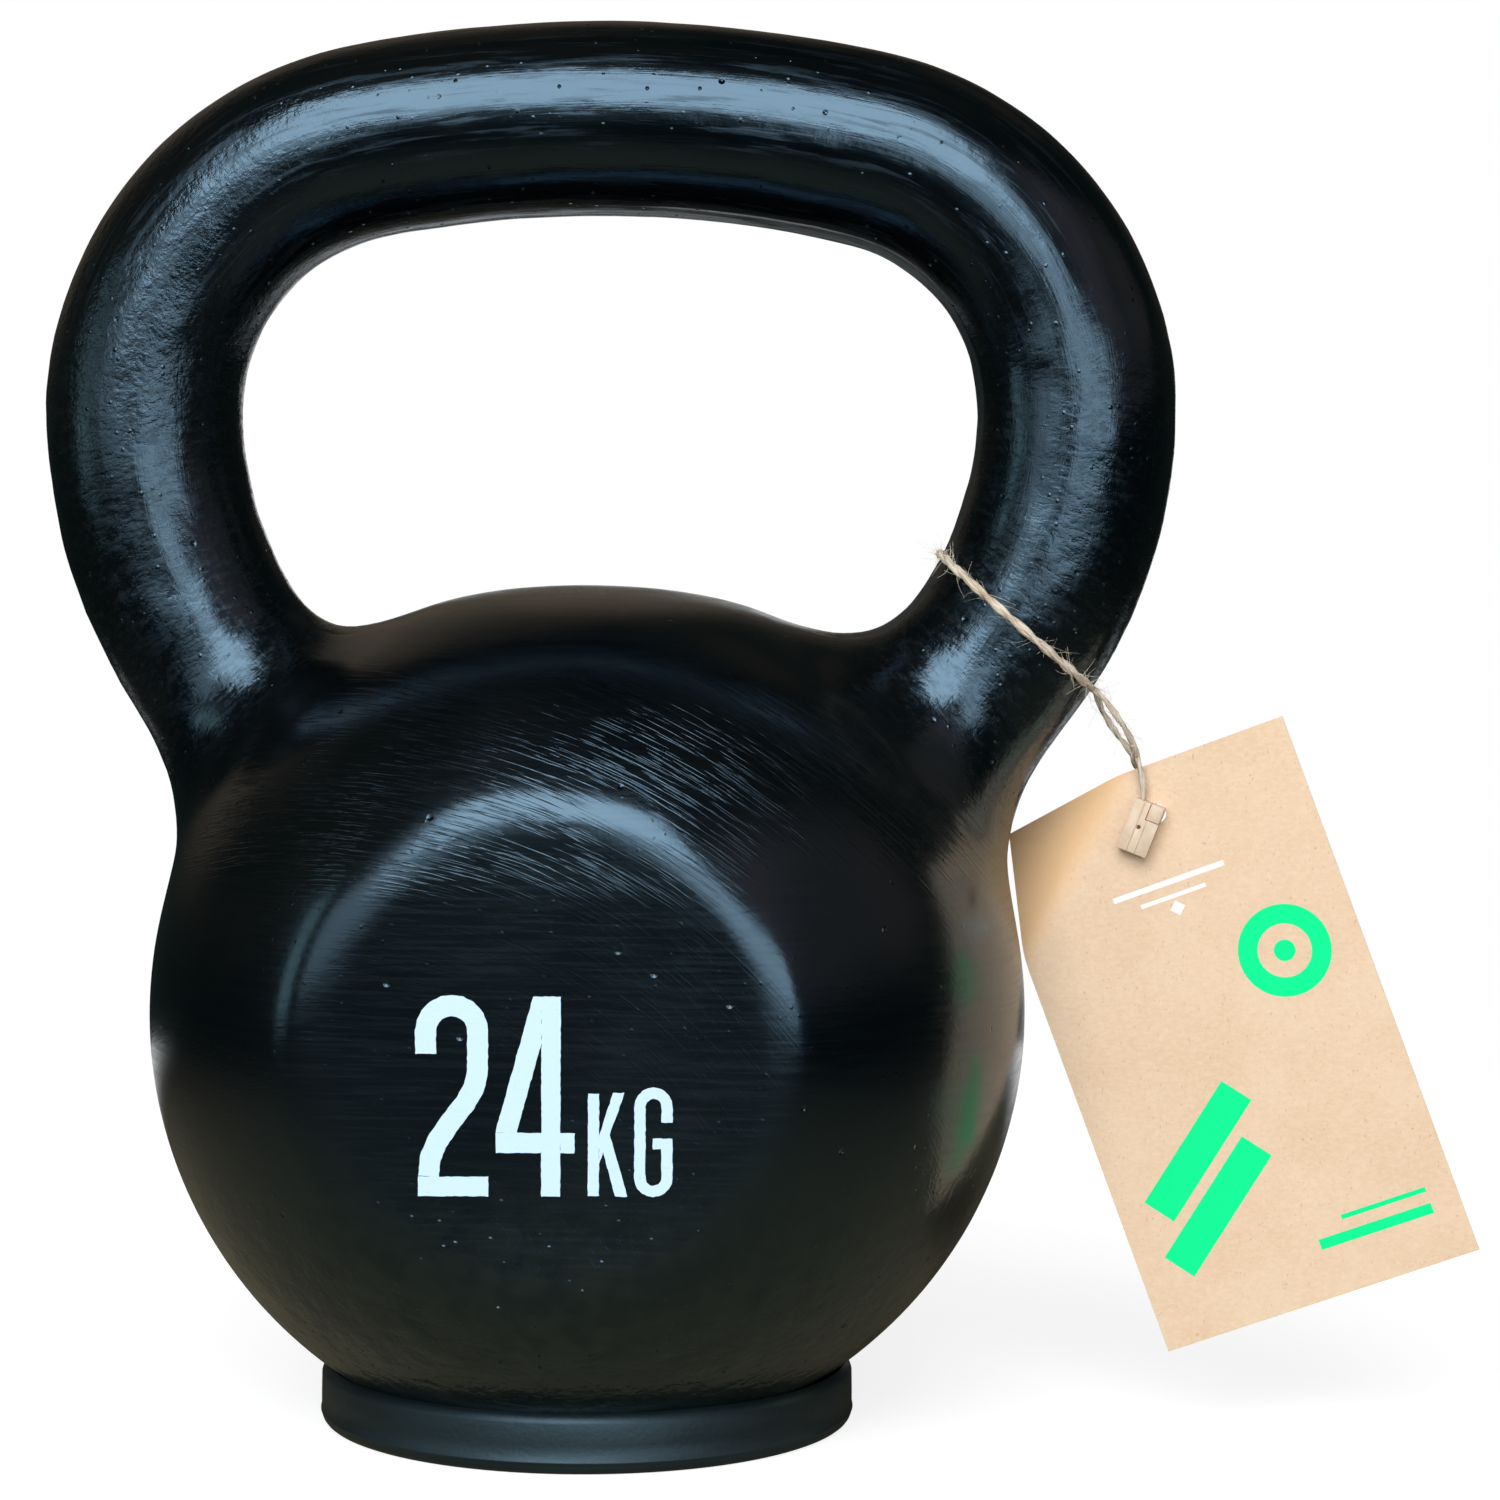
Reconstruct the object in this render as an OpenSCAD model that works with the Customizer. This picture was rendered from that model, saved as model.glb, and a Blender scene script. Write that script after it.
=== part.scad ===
// Cast-iron kettlebell with a rubber boot and a twine hang tag.
// The origin is the centre of the boot's underside, +X runs across the handle towards the tag,
// -Y is the front and +Z is up. All sizes are in millimetres.

/* [Ball] */
// Diameter of the ball
ball_d = 180; // [174:1:188]
// Height of the ball's centre above the floor
ball_z = 84.5; // [82:0.5:87]
// Distance between the front flat and the back flat
flats_w = 154; // [146:1:164]
// Width over which the ball rounds into each flat
flat_edge = 3.5; // [2:0.5:8]
// Height above the ball's centre at which its crown is flattened
crown_cut = 92; // [90:0.5:96]
// Width over which the ball rounds into its flattened crown
crown_edge = 12; // [6:1:18]

/* [Handle] */
// Thickness of the top bar
grip_d = 38.8; // [34:0.2:42]
// Thickness of the two legs
leg_d = 40; // [36:0.5:43]
// Distance from the ball's centre to the left leg's widest point
reach_left = 93; // [88:0.5:98]
// Distance from the ball's centre to the right leg's widest point
reach_right = 99.5; // [94:0.5:104]
// Height of the left leg's widest point above the ball's centre
shoulder_left = 123; // [116:0.5:130]
// Height of the right leg's widest point above the ball's centre
shoulder_right = 124.5; // [117:0.5:131]
// Bend radius of the left corner
corner_left = 57; // [50:1:62]
// Bend radius of the right corner
corner_right = 54; // [48:1:60]
// Crown radius of the top bar
crown_r = 252; // [200:2:400]
// Bend radius of the left leg
bow_left = 90; // [82:1:110]
// Bend radius of the right leg
bow_right = 87; // [82:1:110]
// Width over which the legs flow into the ball on their outer sides
root_blend = 21; // [14:1:26]
// Width over which the left leg flows into the ball beside the window
crotch_left = 15; // [11:1:20]
// Width over which the right leg flows into the ball beside the window
crotch_right = 18; // [11:1:20]

/* [Boot] */
// Height of the boot's rim above the floor
boot_h = 12.8; // [10:0.2:16]
// Thickness of the boot's wall at the rim
rim_wall = 0.6; // [0.4:0.1:1.6]
// Thickness of the sole under the casting
boot_floor = 4.5; // [3:0.5:7]
// Radius of the rounded rim
boot_round = 2.6; // [1.4:0.2:3.4]
// How far the moulding lip at the sole stands out
lip_out = 0.8; // [0.4:0.1:1.4]
// Height of the moulding lip
lip_h = 1.6; // [1:0.1:2.4]

/* [Twine] */
// Thickness of the twine
twine_d = 1.8; // [1.4:0.1:2]
// Where the twine crosses the right leg, in degrees below its widest point
tie_angle = 30; // [24:1:36]
// Slope of the twine across the leg, in degrees
tie_slope = 11; // [5:1:16]

/* [Tag] */
// Width of the card
card_w = 67; // [60:1:72]
// Height of the card
card_h = 115; // [100:1:125]
// Thickness of the card
card_t = 0.5; // [0.4:0.1:0.8]
// Diameter of the punched hole
hole_d = 4.2; // [3.4:0.2:6]
// Distance of the punched hole below the top edge
hole_drop = 9.9; // [8:0.1:14]
// Distance of the punched hole to the right of the card's middle
hole_shift = 2.5; // [0:0.1:4]
// How far the card leans, in degrees
card_lean = 20.9; // [16:0.1:25]
// How far the card's left edge is turned back, in degrees
card_yaw = 8; // [6:1:14]
// Where the crease starts on the top edge, measured from the left corner
crease_top = 34; // [30:1:38]
// Where the crease ends on the left edge, measured from the top corner
crease_side = 30; // [27:1:34]
// How far the creased corner is bent back, in degrees
crease_bend = 44; // [42:1:60]

/* [Lock] */
// Width of the lock's socket
lock_w = 6.2; // [5.6:0.2:7]
// Length of the lock's socket
lock_len = 10.8; // [10:0.2:12]
// Thickness of the lock
lock_t = 4.2; // [3.6:0.2:5]
// Width of the plug's head
head_w = 2.8; // [2.4:0.2:3.4]
// Length of the plug's head
head_len = 3.4; // [2.8:0.2:4]
// Thickness of the plug's tongue
tongue_t = 1.6; // [1.2:0.2:2]
// Length of the plug's tongue
tongue_len = 4.6; // [3.6:0.2:5.2]
// Gap between the plug and the socket
lock_gap = 0.1; // [0.05:0.05:0.2]

/* [Hidden] */

ball_r = ball_d / 2;
grip_r = grip_d / 2;
leg_r = leg_d / 2;
twine_r = twine_d / 2;
// underside of the casting, counted from the ball's centre
foot_z = boot_floor - ball_z;
foot_r = sqrt(ball_r * ball_r - foot_z * foot_z);
// the boot's rim hugs the ball
rim_z = boot_h - ball_z;
boot_r = sqrt(ball_r * ball_r - rim_z * rim_z) + rim_wall;

// The handle's middle line lies in the XZ plane and is five arcs that run smoothly into each other.
// Each arc is [centre x, centre z, radius, start angle, end angle], counted from the ball's centre.
left_hub = [corner_left - reach_left, shoulder_left];
right_hub = [reach_right - corner_right, shoulder_right];
crown_hub = meet(left_hub, crown_r - corner_left, right_hub, crown_r - corner_right);
leg_sweep = 75;
left_lean = bearing(left_hub - crown_hub);
right_lean = bearing(right_hub - crown_hub);
ARCS = [
    [bow_left - reach_left, shoulder_left, bow_left, 180, 180 + leg_sweep],
    [left_hub.x, left_hub.y, corner_left, left_lean, 180],
    [crown_hub.x, crown_hub.y, crown_r, right_lean, left_lean],
    [right_hub.x, right_hub.y, corner_right, 0, right_lean],
    [reach_right - bow_right, shoulder_right, bow_right, 360 - leg_sweep, 360]
];
shoulder_z = max(shoulder_left, shoulder_right);
crown_z = crown_hub.y + crown_r;

function bearing(v) = atan2(v.y, v.x);
function turn(a) = (a % 360 + 360) % 360;
function heading(a) = [cos(a), sin(a)];

// lower point that lies at distance a_r from a and at distance b_r from b
function meet(a, a_r, b, b_r) =
    let (gap = norm(b - a),
         along = (a_r * a_r - b_r * b_r + gap * gap) / (2 * gap),
         down = sqrt(a_r * a_r - along * along),
         u = (b - a) / gap)
    a + along * u + down * [u.y, -u.x];

// distance from a point of the XZ plane to one arc, and to the handle's whole middle line
function arc_point(arc, angle) = [arc[0], arc[1]] + arc[2] * heading(angle);
function arc_gap(p, arc) =
    let (v = p - [arc[0], arc[1]])
    turn(bearing(v) - arc[3]) <= arc[4] - arc[3]
        ? abs(norm(v) - arc[2])
        : min(norm(p - arc_point(arc, arc[3])), norm(p - arc_point(arc, arc[4])));
function line_gap(p) = min([for (arc = ARCS) arc_gap(p, arc)]);

// the legs thin out evenly towards the crown
function bar_r(z) =
    leg_r + (grip_r - leg_r) * min(max((z - shoulder_z) / (crown_z - shoulder_z), 0), 1);

// The fillets at the roots widen evenly from the window out to the sides of the ball.
crotch_x = 52;
waist_x = 86;
function blend_at(x) =
    let (outward = min(max((abs(x) - crotch_x) / (waist_x - crotch_x), 0), 1),
         crotch_blend = x < 0 ? crotch_left : crotch_right)
    crotch_blend + (root_blend - crotch_blend) * outward;

// Skin of the casting: below zero inside the iron, above zero outside. A probe holds what the skin
// has to know of a point of the XZ plane: its distance from the handle's middle line, the bar's
// radius there, its distance from the ball's centre, its height above that, and the fillet's width.
// y is the depth from the XZ plane. "room" is how far a point lies inside a flat.
function soft_union(a, b, width) = min(a, b) - pow(max(width - abs(a - b), 0), 2) / (4 * width);
function soft_cut(a, room, width) = -soft_union(-a, room, width);
function probe(p) = [line_gap(p), bar_r(p.y), norm(p), p.y, blend_at(p.x)];
function skin(at, y) =
    let (bar = norm([at[0], y]) - at[1],
         ball = soft_cut(norm([at[2], y]) - ball_r, crown_cut - at[3], crown_edge))
    soft_cut(soft_union(bar, ball, at[4]), flats_w / 2 - y, flat_edge);
function skin_at(p) = skin(probe(p), 0);

// The casting is lofted round the window of the handle. Each ray starts in the window's middle,
// enters the iron at the window's edge and leaves it at the outline.
window_drop = 6;
window_mid = [(reach_right - reach_left) / 2, shoulder_z - window_drop];
// step and longest reach of the search along a ray, and the halvings that then pin down the skin
march = 3;
far = 300;
halvings = 22;
function along_ray(ray, t) = window_mid + t * ray;
function split(ray, open, solid, n) =
    let (mid = (open + solid) / 2)
    n == 0 ? mid
        : skin_at(along_ray(ray, mid)) > 0 ? split(ray, mid, solid, n - 1)
        : split(ray, open, mid, n - 1);
function enter(ray, t) =
    skin_at(along_ray(ray, t)) < 0
        ? split(ray, t - march, t, halvings)
        : enter(ray, t + march);
function leave(ray, t) =
    skin_at(along_ray(ray, t)) < 0
        ? split(ray, t + march, t, halvings)
        : leave(ray, t - march);
function to_foot(ray) = ray.y < 0 ? (foot_z - window_mid.y) / ray.y : far;

// depth of the front skin at a point, found by halving; the parting line keeps a narrow land
parting_land = 0.8;
function depth(at, low, high, n) =
    let (mid = (low + high) / 2)
    n == 0 ? mid
        : skin(at, mid) < 0 ? depth(at, mid, high, n - 1)
        : depth(at, low, mid, n - 1);
function front_point(p) =
    let (y = depth(probe(p), 0, ball_r, halvings))
    [p.x, -max(y, parting_land), p.y];

// Rays aim at evenly spaced points of the underside and of the ball's sides, and turn evenly
// round the handle between the two waists.
foot_steps = 10;
side_steps = 15;
bar_steps = 58;
skin_steps = 29;
waist_angle = 26;
foot_angle = asin(foot_z / ball_r);
function aim(p) = (p - window_mid) / norm(p - window_mid);
waist_right = bearing(aim(ball_r * heading(waist_angle)));
waist_left = turn(bearing(aim(ball_r * heading(180 - waist_angle))));
RAYS = concat(
    [for (i = [0:foot_steps - 1]) aim([foot_r * (2 * i / foot_steps - 1), foot_z])],
    [for (i = [0:side_steps - 1])
        aim(ball_r * heading(foot_angle + (waist_angle - foot_angle) * i / side_steps))],
    [for (i = [0:bar_steps - 1]) heading(waist_right + (waist_left - waist_right) * i / bar_steps)],
    [for (i = [0:side_steps - 1])
        aim(ball_r * heading(180 - waist_angle + (waist_angle - foot_angle) * i / side_steps))]
);

// One closed ring of points: over the front from the window out, and back over the rear. The
// steps lie closer at both ends, and less so on the long rays that cross the ball.
ball_crossing = 150;
function part_of_way(t, width) =
    let (even = min(width / ball_crossing, 1) / 2)
    even * t + (1 - even) * (1 - cos(180 * t)) / 2;
function half_ring(ray) =
    let (near = enter(ray, march), width = min(leave(ray, far), to_foot(ray)) - near)
    [for (i = [0:skin_steps])
        front_point(along_ray(ray, near + width * part_of_way(i / skin_steps, width)))];
function reversed(list) = [for (i = [len(list) - 1:-1:0]) list[i]];
function flip_y(p) = [p.x, -p.y, p.z];
function ring(ray) =
    let (front = half_ring(ray))
    concat(front, [for (p = reversed(front)) flip_y(p)]);

// Triangles between rings of equal length; "closed" joins the last ring to the first,
// otherwise both ends get a flat cap.
module loft(rings, closed) {
    count = len(rings);
    size = len(rings[0]);
    spans = closed ? count : count - 1;
    walls = [for (i = [0:spans - 1], j = [0:size - 1], half = [0, 1])
        let (a = i * size + j,
             b = i * size + (j + 1) % size,
             c = ((i + 1) % count) * size + (j + 1) % size,
             d = ((i + 1) % count) * size + j)
        half == 0 ? [a, c, b] : [a, d, c]];
    caps = closed ? [] : [
        [for (j = [0:size - 1]) j],
        reversed([for (j = [0:size - 1]) (count - 1) * size + j])
    ];
    polyhedron([for (r = rings) each r], concat(walls, caps), convexity = 6);
}

// Round tube swept along a list of points. Every ring stands square to the line, and its first
// point is kept to the same side so that the tube doesn't twist.
tube_sides = 8;
function unit(v) = v / norm(v);
function heading_at(path, i) = unit(path[min(i + 1, len(path) - 1)] - path[max(i - 1, 0)]);
function tube_ring(centre, dir, r, side) =
    let (u = unit(side - (side * dir) * dir), w = cross(dir, u))
    [for (k = [0:tube_sides - 1])
        centre + r * (cos(360 * k / tube_sides) * u + sin(360 * k / tube_sides) * w)];
module tube(path, first_dir, last_dir, side) {
    last = len(path) - 1;
    loft([for (i = [0:last])
        let (dir = i == 0 ? first_dir : i == last ? last_dir : heading_at(path, i))
        tube_ring(path[i], dir, twine_r, side)],
        false);
}

// The twine grips the right leg in a loop that is open on the outside, where both strands leave.
loop_open = 15;
loop_steps = 27;
twine_bite = 0.1;
tie_arc = ARCS[4];
tie_at = arc_point(tie_arc, -tie_angle);
tie_dir = heading(-tie_angle - tie_slope);
loop_r = leg_r + twine_r - twine_bite;
function loop_point(a) =
    let (across = tie_at + loop_r * cos(a) / cos(tie_slope) * tie_dir)
    [across.x, -loop_r * sin(a), ball_z + across.y];
function loop_dir(a) =
    let (s = -loop_r * sin(a) / cos(tie_slope))
    unit([s * tie_dir.x, -loop_r * cos(a), s * tie_dir.y]);
LOOP = [for (i = [0:loop_steps]) loop_open + (360 - 2 * loop_open) * i / loop_steps];

// The strands' own points, in order from the leg down. They end where the tag turns, and the
// tails go on a little below: one in front of the card, and one behind it and through its hole.
turn_z = 138.5;
turn_gap = 0.3;
FRONT_STRAND = [
    [104.6, -5.6, 151], [106.3, -6, 149.2], [108.2, -5.6, 146.6], [110, -4.6, 143.8],
    [111.5, -2.8, 141], [112.4, -1.1, turn_z]
];
BACK_STRAND = [
    [104.2, 5.6, 150.6], [105.1, 5.8, 148], [106.6, 5.4, 145.2], [108.4, 4.2, 142.6],
    [110.2, 2.6, 140.4], [111.5, 1.2, turn_z]
];
FRONT_TAIL = [
    [112.4, -1.1, turn_z - turn_gap], [113, -1.3, 136.2], [113.5, -1.2, 134], [113.8, -1, 131.6],
    [113.8, -0.7, 129.4]
];
BACK_TAIL = [
    [111.5, 1.2, turn_z - turn_gap], [111.9, 2.6, 137], [112.8, 4.2, 135.4], [114, 5.2, 133],
    [115.2, 5.6, 130.6], [116.1, 5.2, 128.4], [116.5, 4.1, 127], [116.5, 2.5, 126.6],
    [116.5, 1, 126.6]
];
DOWN = [0, 0, -1];

// The card hangs from its punched hole, whose middle lies on the card's front face.
hole_at = [116.5, 1, 126.6];
card_left = -card_w / 2 - hole_shift;
card_top = hole_drop;
crease_a = [card_left + crease_top, card_top];
crease_b = [card_left, card_top - crease_side];
crease_angle = bearing(crease_a - crease_b);
crease_len = norm(crease_a - crease_b);
into_hole = [-sin(card_yaw), -cos(card_yaw), 0];

// The lock lies on the front of the card. The plug's head covers the hole and fills the socket's
// upper right corner, and its tongue goes down into the socket's slot.
lock_lean = 21;
// the hole's middle as seen from the head's lower left corner
hole_off = [0.2, 0.1];
hole_in_head = [head_w, head_len] / 2 - hole_off;
// the ribs and the window stand at these parts of the socket's width
rib_places = [0.28, 0.56];
window_place = 0.42;
rib_w = 0.5;
rib_proud = 0.35;
window_d = 0.9;
// the barb on the tongue that snaps into the socket
barb = 0.3;
barb_len = 0.8;
// overlap of parts that are one moulding, and how far a cut runs past a face
slack = 0.01;
past = 1;

module casting() {
    color("#1a1c1e")
    translate([0, 0, ball_z])
    loft([for (ray = RAYS) ring(ray)], true);
}

module boot() {
    color("#20262a")
    difference() {
        union() {
            cylinder(r = boot_r, h = boot_h - boot_round);
            cylinder(r = boot_r - boot_round, h = boot_h);
            translate([0, 0, boot_h - boot_round])
            rotate_extrude()
            translate([boot_r - boot_round, 0])
            circle(r = boot_round);
            cylinder(r1 = boot_r + lip_out / 2, r2 = boot_r + lip_out, h = lip_h / 2);
            translate([0, 0, lip_h / 2])
            cylinder(r = boot_r + lip_out, h = lip_h / 2);
        }
        intersection() {
            translate([0, 0, ball_z])
            sphere(r = ball_r);
            translate([-ball_d, -ball_d, boot_floor])
            cube(2 * ball_d);
        }
    }
}

module twine_loop() {
    color("#b79a78")
    loft([for (a = LOOP) tube_ring(loop_point(a), loop_dir(a), twine_r, [tie_dir.x, 0, tie_dir.y])],
        false);
}

module strand_front() {
    color("#b79a78")
    tube(FRONT_STRAND, unit(FRONT_STRAND[1] - FRONT_STRAND[0]), DOWN, [1, 0, 0]);
}

module strand_back() {
    color("#b79a78")
    tube(BACK_STRAND, unit(BACK_STRAND[1] - BACK_STRAND[0]), DOWN, [1, 0, 0]);
}

module tail_front() {
    color("#b79a78")
    tube(FRONT_TAIL, DOWN, unit(FRONT_TAIL[4] - FRONT_TAIL[3]), [1, 0, 0]);
}

module tail_back() {
    color("#b79a78")
    tube(BACK_TAIL, DOWN, into_hole, [1, 0, 0]);
}

// Places a child that is drawn with the hole at the origin and the card's front face at y = 0.
module on_card() {
    translate(hole_at)
    rotate([0, 0, -card_yaw])
    children();
}

// Places a child that is drawn with the origin at the lower left corner of the plug's head,
// +X across the lock, +Z along it and the lock's back face at y = 0.
module on_lock() {
    on_card()
    rotate([0, lock_lean, 0])
    translate([-hole_in_head.x, 0, -hole_in_head.y])
    children();
}

module lock_socket() {
    left = head_w - lock_w;
    top = head_len;
    slot_w = head_w - rib_w + 2 * lock_gap;
    color("#cbb79c")
    on_lock()
    difference() {
        union() {
            translate([left, -lock_t, top - lock_len])
            cube([lock_w, lock_t, lock_len]);
            for (place = rib_places)
                translate([left + lock_w * place - rib_w / 2, -lock_t - rib_proud, top - lock_len])
                cube([rib_w, lock_t / 2, lock_len]);
        }
        // the corner that the plug's head fills
        translate([-lock_gap, -lock_t - past, -lock_gap])
        cube([lock_w, lock_t + 2 * past, lock_len]);
        // the slot for the plug's tongue
        translate([rib_w / 2 - lock_gap, -lock_t / 2 - tongue_t / 2 - lock_gap, -tongue_len - lock_gap])
        cube([slot_w, tongue_t + 2 * lock_gap, lock_len]);
        // the window that shows the tongue's barb
        translate([left + lock_w * window_place, -lock_t / 2, top - lock_len / 2])
        rotate([90, 0, 0])
        cylinder(d = window_d, h = lock_t, $fn = 24);
    }
}

module lock_plug() {
    color("#c4ae92")
    on_lock() {
        translate([0, -lock_t, 0])
        cube([head_w, lock_t, head_len]);
        translate([rib_w / 2, -lock_t / 2 - tongue_t / 2, -tongue_len])
        cube([head_w - rib_w - barb, tongue_t, tongue_len + slack]);
        translate([rib_w / 2, -lock_t / 2 - tongue_t / 2, -tongue_len])
        cube([head_w - rib_w, tongue_t, barb_len]);
    }
}

module tag_card() {
    color("#e2c8a2")
    on_card()
    rotate([0, -card_lean, 0])
    difference() {
        union() {
            // the flat of the card, cut along the crease
            rotate([90, 0, 0])
            translate([0, 0, -card_t])
            linear_extrude(card_t)
            polygon([crease_b, [card_left, card_top - card_h], [card_left + card_w, card_top - card_h],
                     [card_left + card_w, card_top], crease_a]);
            // the corner that is bent back round the crease
            translate([crease_b.x, 0, crease_b.y])
            rotate([0, -crease_angle, 0])
            rotate([-crease_bend, 0, 0])
            rotate([90, 0, 0])
            translate([0, 0, -card_t])
            linear_extrude(card_t)
            polygon([[0, 0], [crease_len, 0], crease_side * [sin(crease_angle), cos(crease_angle)]]);
        }
        rotate([90, 0, 0])
        cylinder(d = hole_d, h = 4 * card_t, center = true);
    }
}

casting();
boot();
twine_loop();
strand_front();
strand_back();
tail_front();
tail_back();
lock_socket();
lock_plug();
tag_card();
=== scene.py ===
import math
import random

import bpy
from mathutils import Matrix, Vector
from mathutils.kdtree import KDTree


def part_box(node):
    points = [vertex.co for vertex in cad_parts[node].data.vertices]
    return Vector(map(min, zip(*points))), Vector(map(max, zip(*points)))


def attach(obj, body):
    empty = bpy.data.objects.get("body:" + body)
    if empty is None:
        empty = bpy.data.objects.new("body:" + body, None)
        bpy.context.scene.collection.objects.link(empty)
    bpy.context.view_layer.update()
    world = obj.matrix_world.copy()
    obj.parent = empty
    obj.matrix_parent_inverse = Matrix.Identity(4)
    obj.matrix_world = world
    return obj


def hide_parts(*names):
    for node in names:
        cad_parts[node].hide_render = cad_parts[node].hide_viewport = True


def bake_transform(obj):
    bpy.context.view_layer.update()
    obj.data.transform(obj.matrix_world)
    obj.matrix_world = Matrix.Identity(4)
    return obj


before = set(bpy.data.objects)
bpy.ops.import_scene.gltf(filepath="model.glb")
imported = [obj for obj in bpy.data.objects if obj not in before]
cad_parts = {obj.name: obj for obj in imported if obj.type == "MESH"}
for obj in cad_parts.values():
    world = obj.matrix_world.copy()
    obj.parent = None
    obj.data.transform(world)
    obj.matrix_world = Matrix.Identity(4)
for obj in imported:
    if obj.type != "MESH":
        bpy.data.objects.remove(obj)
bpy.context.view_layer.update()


# ---- Camera ----
# The bell stands square to the viewer, who looks at it from just right of its middle
# with a long lens, level with the lower half of the handle.
bpy.ops.object.select_all(action="DESELECT")
bpy.ops.object.camera_add(
    location=(0.0892, -0.7957, 0.1795),
    rotation=(math.radians(87.08), math.radians(-0.34), math.radians(4.05)),
)
camera = bpy.context.object
camera.name = "camera"
camera.data.lens = 93.1
bpy.context.scene.camera = camera
bpy.context.scene.view_settings.view_transform = "Standard"


# ---- Twine ----
# One length of two-ply hemp goes round the right leg, held only by its own tightness. Both
# strands leave the leg on the outside and meet above the card, where the tails go on into
# the lock. The two yarns are laid round each other, and loose fibres stand off them.
MM = 0.001
twine_d = 1.8 * MM
loop_middle = Vector((87.84, 0, 165.5)) * MM
loop_reach = 20.8 * MM
loop_slope = math.radians(11)
loop_fall = math.radians(-41)
loop_open = 15
FRONT_STRAND = [
    (104.6, -5.6, 151), (106.3, -6, 149.2), (108.2, -5.6, 146.6), (110, -4.6, 143.8),
    (111.5, -2.8, 141), (112.4, -1.1, 138.5),
]
BACK_STRAND = [
    (104.2, 5.6, 150.6), (105.1, 5.8, 148), (106.6, 5.4, 145.2), (108.4, 4.2, 142.6),
    (110.2, 2.6, 140.4), (111.5, 1.2, 138.5),
]
FRONT_TAIL = [
    (112.4, -1.1, 138.2), (113, -1.3, 136.2), (113.5, -1.2, 134), (113.8, -1, 131.6),
    (113.8, -0.7, 129.4),
]
BACK_TAIL = [
    (111.5, 1.2, 138.2), (111.9, 2.6, 137), (112.8, 4.2, 135.4), (114, 5.2, 133),
    (115.2, 5.6, 130.6), (116.1, 5.2, 128.4), (116.5, 4.1, 127), (116.5, 2.5, 126.6),
    (116.5, 1, 126.6),
]


def in_metres(points):
    return [Vector(p) * MM for p in points]


def loop_point(degrees):
    a = math.radians(degrees)
    across = loop_reach * math.cos(a) / math.cos(loop_slope)
    return loop_middle + Vector(
        (across * math.cos(loop_fall), -loop_reach * math.sin(a), across * math.sin(loop_fall))
    )


def smooth_path(points, step):
    """Even points on a smooth curve through the given ones."""
    parts = 16
    ends = [2 * points[0] - points[1]] + points + [2 * points[-1] - points[-2]]
    fine = []
    for a, b, c, d in zip(ends, ends[1:], ends[2:], ends[3:]):
        for i in range(parts):
            t = i / parts
            fine.append(
                0.5 * (2 * b + (c - a) * t + (2 * a - 5 * b + 4 * c - d) * t * t
                       + (3 * b - a - 3 * c + d) * t ** 3)
            )
    fine.append(points[-1])
    run = [0]
    for a, b in zip(fine, fine[1:]):
        run.append(run[-1] + (b - a).length)
    count = max(2, round(run[-1] / step))
    even, j = [], 0
    for i in range(count + 1):
        s = run[-1] * i / count
        while j < len(fine) - 2 and run[j + 1] < s:
            j += 1
        even.append(fine[j].lerp(fine[j + 1], (s - run[j]) / max(run[j + 1] - run[j], 1e-9)))
    return even


def frames_along(path):
    """Direction and two side vectors at each point, turning as little as possible."""
    result = []
    side = Vector((0, 0, 1))
    for i, p in enumerate(path):
        ahead = (path[min(i + 1, len(path) - 1)] - path[max(i - 1, 0)]).normalized()
        side = (side - ahead * side.dot(ahead)).normalized()
        result.append((ahead, side, ahead.cross(side)))
    return result


def length_of(path):
    return sum((b - a).length for a, b in zip(path, path[1:]))


yarn_sides = 10
yarn_pitch = 13 * MM
yarn_step = 0.35 * MM
yarn_offset = 0.19 * twine_d
yarn_r = 0.34 * twine_d
pulled_share = 0.28
pulled_steps = 20


def twisted_yarns(name, paths, seed, free):
    """Two yarns laid round each other along each path, thinner on the free steps at its ends."""
    dice = random.Random(seed)
    points, faces, uvs = [], [], []
    for path in paths:
        frames = frames_along(path)
        for yarn in (0, 1):
            first = len(points)
            run = 0
            wobble = dice.uniform(0, 6)
            for i, (p, (ahead, side, up)) in enumerate(zip(path, frames)):
                run += (path[i] - path[i - 1]).length if i else 0
                from_end = min(i, len(path) - 1 - i)
                pulled = 1 - pulled_share * min(max((free - from_end) / pulled_steps, 0), 1)
                turn = 2 * math.pi * run / yarn_pitch + math.pi * yarn
                slim = 1 + 0.1 * math.sin(run / (3.1 * MM) + wobble)
                centre = p + (side * math.cos(turn) + up * math.sin(turn)) * yarn_offset * pulled
                for k in range(yarn_sides):
                    a = 2 * math.pi * k / yarn_sides
                    ridge = 1 + 0.1 * math.sin(3 * a + run / (0.5 * MM))
                    wide = yarn_r * pulled * slim * (ridge + dice.uniform(-0.05, 0.05))
                    points.append(centre + (side * math.cos(a) + up * math.sin(a)) * wide)
                    uvs.append((run / yarn_pitch, k / yarn_sides))
            for i in range(len(path) - 1):
                ring = first + i * yarn_sides
                for k in range(yarn_sides):
                    a, b = ring + k, ring + (k + 1) % yarn_sides
                    faces.append((a, b, b + yarn_sides, a + yarn_sides))
            last = len(points) - yarn_sides
            faces.append(tuple(first + k for k in reversed(range(yarn_sides))))
            faces.append(tuple(last + k for k in range(yarn_sides)))
    mesh = bpy.data.meshes.new(name)
    mesh.from_pydata(points, [], faces)
    layer = mesh.uv_layers.new(name="along")
    for loop in mesh.loops:
        layer.data[loop.index].uv = uvs[loop.vertex_index]
    mesh.update()
    for face in mesh.polygons:
        face.use_smooth = True
    piece = bpy.data.objects.new(name, mesh)
    bpy.context.collection.objects.link(piece)
    return piece


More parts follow.
